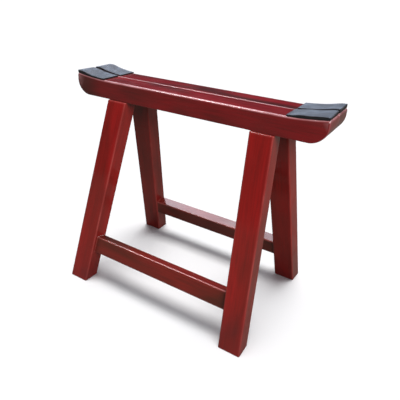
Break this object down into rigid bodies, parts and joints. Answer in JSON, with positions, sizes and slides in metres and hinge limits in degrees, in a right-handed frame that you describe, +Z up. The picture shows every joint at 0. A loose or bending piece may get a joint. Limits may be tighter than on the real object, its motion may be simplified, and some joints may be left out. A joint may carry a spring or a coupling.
{
  "type": "folding trestle stand",
  "caption": "Low folding wooden trestle in dark red lacquer: splayed leg frames hinged under a split top rail with upswept ends and ribbed rubber pads.",
  "frame": {"origin": "on the floor under the middle of the stand, with the stand open", "axes": "+X along the top rail, -Y towards the front frame, +Z up"},
  "size_m": [0.686, 0.4178, 0.5658],
  "materials": {
    "rail_lacquer": "dark red gloss lacquer over fine straight grain",
    "leg_lacquer": "dark red gloss lacquer over fine straight grain",
    "ribbed_rubber": "black ribbed sheet rubber, satin",
    "hinge_steel": "zinc-plated steel strip",
    "screw_steel": "zinc-plated steel"
  },
  "bodies": {
    "rear_frame": {"rear_rail": "rail_lacquer", "rear_left_leg": "leg_lacquer", "rear_right_leg": "leg_lacquer", "rear_stretcher": "leg_lacquer", "rear_left_pad": "ribbed_rubber", "rear_right_pad": "ribbed_rubber", "rear_left_leaf": "hinge_steel", "rear_right_leaf": "hinge_steel", "rear_left_screw_1": "screw_steel", "rear_left_screw_2": "screw_steel", "rear_left_screw_3": "screw_steel", "rear_right_screw_1": "screw_steel", "rear_right_screw_2": "screw_steel", "rear_right_screw_3": "screw_steel"},
    "front_frame": {"front_rail": "rail_lacquer", "front_left_leg": "leg_lacquer", "front_right_leg": "leg_lacquer", "front_stretcher": "leg_lacquer", "front_left_pad": "ribbed_rubber", "front_right_pad": "ribbed_rubber", "front_left_leaf": "hinge_steel", "front_right_leaf": "hinge_steel", "left_hinge_pin": "hinge_steel", "right_hinge_pin": "hinge_steel", "front_left_screw_1": "screw_steel", "front_left_screw_2": "screw_steel", "front_left_screw_3": "screw_steel", "front_right_screw_1": "screw_steel", "front_right_screw_2": "screw_steel", "front_right_screw_3": "screw_steel"}
  },
  "joints": [
    {"name": "fold", "type": "hinge", "parent": "rear_frame", "child": "front_frame", "pos_m": [0, 0, 0.5009], "axis": [1, 0, 0], "range_deg": [0, 35]}
  ]
}
